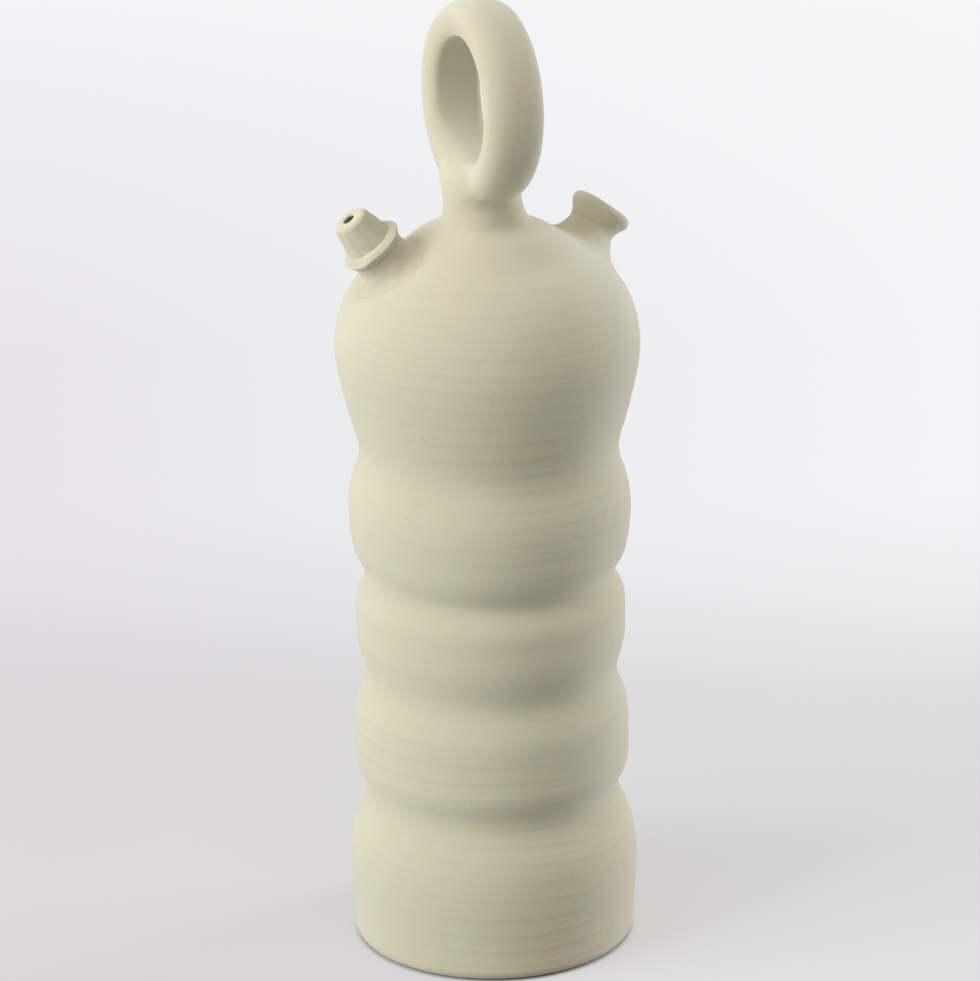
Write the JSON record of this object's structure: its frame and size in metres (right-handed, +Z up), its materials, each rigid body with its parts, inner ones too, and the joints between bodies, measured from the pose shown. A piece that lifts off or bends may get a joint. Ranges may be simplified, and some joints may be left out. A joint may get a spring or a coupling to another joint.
{
  "type": "water jar",
  "caption": "Tall unglazed clay water jar with a waisted body, a ring handle on top, a flared filling mouth and a fine collared pouring spout.",
  "frame": {"origin": "middle of the flat foot that the jar stands on", "axes": "+Z up the jar's axis to the ring handle; -X and slightly -Y to the pouring spout; +X and +Y to the filling mouth"},
  "size_m": [0.1364, 0.1364, 0.4396],
  "materials": {
    "clay": "matte"
  },
  "bodies": {
    "root": {"lower_body": "clay", "upper_body": "clay", "handle_ring": "clay", "handle_luting": "clay", "spout_collar": "clay", "spout_luting": "clay", "pouring_spout": "clay", "filling_mouth": "clay", "mouth_luting": "clay"}
  },
  "joints": []
}
